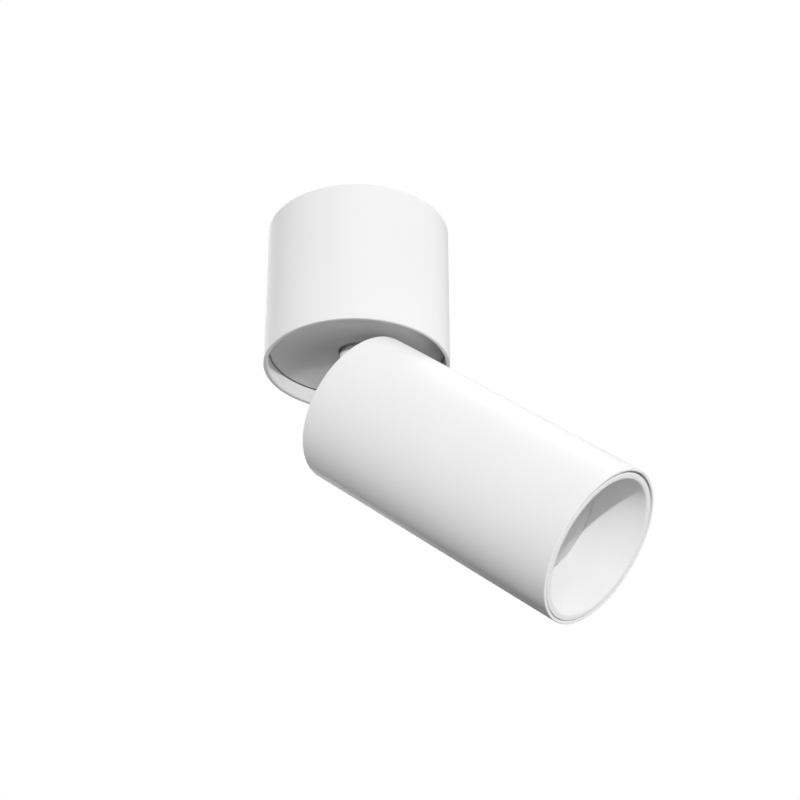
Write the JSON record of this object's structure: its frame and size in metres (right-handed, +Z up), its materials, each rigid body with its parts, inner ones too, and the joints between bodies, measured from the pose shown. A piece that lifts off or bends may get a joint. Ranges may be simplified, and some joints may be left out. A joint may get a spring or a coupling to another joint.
{
  "type": "surface mounted ceiling spotlight",
  "caption": "Cylindrical ceiling spotlight: a round base on the ceiling, a short swivelling neck and a tubular head that tilts, with a recessed lamp and a pull-out front ring.",
  "frame": {"origin": "centre of the base's face that lies on the ceiling, midway between the two screw slots", "axes": "+Z up out of that face into the ceiling, the swivel axis is -Z to +Z; +X along the line of the two screw slots; the head hangs below, its rest heading 23.7 degrees from +X towards -Y"},
  "size_m": [0.1415, 0.1016, 0.1755],
  "materials": {
    "shell_white": "matte",
    "ring_white": "satin",
    "zinc_sheet": "satin",
    "zinc_screw": "satin",
    "brass": "satin",
    "nylon": "matte",
    "grey_plastic": "matte",
    "black_rubber": "matte",
    "lead_sleeve": "satin",
    "steatite": "matte",
    "lamp_plastic": "gloss",
    "lamp_aluminium": "satin",
    "frosted_glass": "satin"
  },
  "bodies": {
    "base": {"base_shell": "shell_white", "ceiling_bracket": "zinc_sheet", "cable_grommet": "black_rubber", "chassis_frame": "zinc_sheet", "side_screws": "zinc_screw", "cover_disc": "shell_white", "disc_screws": "zinc_screw", "terminal_block": "nylon", "terminal_tubes": "brass", "terminal_screws": "zinc_screw", "block_screws": "zinc_screw", "earth_washer": "brass", "earth_screw": "zinc_screw", "cord_clamp": "grey_plastic", "cord_clamp_screws": "zinc_screw", "swivel_bush": "nylon", "friction_washer": "nylon", "stop_pin": "zinc_screw", "base_leads": "lead_sleeve"},
    "neck": {"neck_post": "shell_white", "stop_washer": "zinc_screw", "spring_washer": "zinc_screw", "nut_washer": "zinc_screw", "swivel_nut": "zinc_screw", "neck_liner": "nylon", "pivot_washers": "nylon", "pivot_screws": "zinc_screw", "neck_leads": "lead_sleeve"},
    "head": {"head_tube": "shell_white", "back_plate": "shell_white", "pivot_bracket": "zinc_sheet", "back_screws": "zinc_screw", "pillars": "zinc_screw", "holder_plate": "zinc_sheet", "plate_screws": "zinc_screw", "lampholder": "steatite", "lampholder_screws": "zinc_screw", "lamp_pins": "brass", "lamp_cap": "lamp_plastic", "lamp_body": "lamp_aluminium", "lamp_board": "lamp_aluminium", "lamp_lens": "frosted_glass", "head_leads": "lead_sleeve"},
    "ring": {"front_ring": "ring_white", "grip_band": "black_rubber"}
  },
  "joints": [
    {"name": "swivel", "type": "hinge", "parent": "base", "child": "neck", "pos_m": [0, 0, -0.05], "axis": [0, 0, 1], "range_deg": [-170, 170]},
    {"name": "tilt", "type": "hinge", "parent": "neck", "child": "head", "pos_m": [0, 0, -0.07819], "axis": [-0.4019, -0.9157, 0], "range_deg": [-51.3, 3]},
    {"name": "ring_pull", "type": "slide", "parent": "head", "child": "ring", "axis": [0.7146, -0.3137, -0.6252], "range_m": [0, 0.03]}
  ]
}
